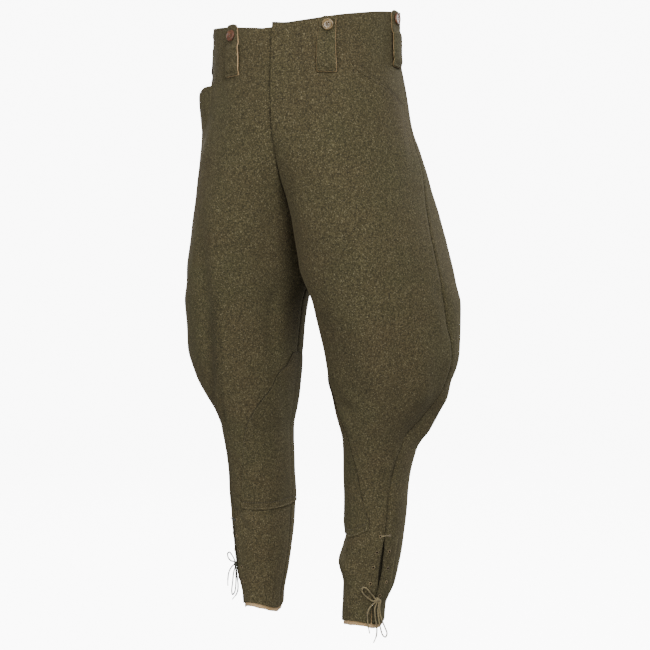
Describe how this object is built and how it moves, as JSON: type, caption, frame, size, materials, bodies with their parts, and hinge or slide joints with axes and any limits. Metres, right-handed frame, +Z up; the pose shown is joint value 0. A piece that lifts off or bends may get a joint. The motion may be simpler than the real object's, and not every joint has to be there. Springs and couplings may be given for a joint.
{
  "type": "riding breeches",
  "caption": "Thick wool riding breeches, wide at the thigh and close at the calf, with buttoned belt tabs, a lapped fly, knee patches and laced calf slits, held open as worn.",
  "frame": {"origin": "the middle of the waist ring, where the wearer holds the breeches up", "axes": "+Z up, the front faces -Y, the wearer's left is +X"},
  "size_m": [0.4508, 0.2542, 0.9637],
  "materials": {
    "wool": "dark olive brown heathered wool twill, matt with a short nap",
    "backing": "pale tan cotton, plain weave",
    "horn": "tan horn, satin, slightly streaked",
    "lace_left": "olive khaki flat braided lace",
    "lace_right": "dark grey green braided lace"
  },
  "bodies": {
    "root": {"front_left": "wool", "front_right": "wool", "back_left": "wool", "back_right": "wool", "knee_patch_left": "wool", "knee_patch_right": "wool", "fly_underlap": "wool", "pocket_facing_left": "wool", "pocket_facing_right": "wool", "slit_underlap_left": "wool", "slit_underlap_right": "wool", "belt_loop_front_left": "wool", "loop_backing_front_left": "backing", "button_front_left": "horn", "belt_loop_front_right": "wool", "loop_backing_front_right": "backing", "button_front_right": "horn", "belt_loop_side_left": "wool", "loop_backing_side_left": "backing", "button_side_left": "horn", "belt_loop_side_right": "wool", "loop_backing_side_right": "backing", "button_side_right": "horn", "belt_loop_back_left": "wool", "loop_backing_back_left": "backing", "button_back_left": "horn", "belt_loop_back_right": "wool", "loop_backing_back_right": "backing", "button_back_right": "horn", "hem_facing_left": "backing", "lace_bar_left": "lace_left", "lace_bow_front_left": "lace_left", "lace_bow_back_left": "lace_left", "lace_end_front_left": "lace_left", "lace_end_back_left": "lace_left", "lace_knot_left": "lace_left", "hem_facing_right": "backing", "lace_bar_right": "lace_right", "lace_bow_front_right": "lace_right", "lace_bow_back_right": "lace_right", "lace_end_front_right": "lace_right", "lace_end_back_right": "lace_right", "lace_knot_right": "lace_right"}
  },
  "joints": []
}
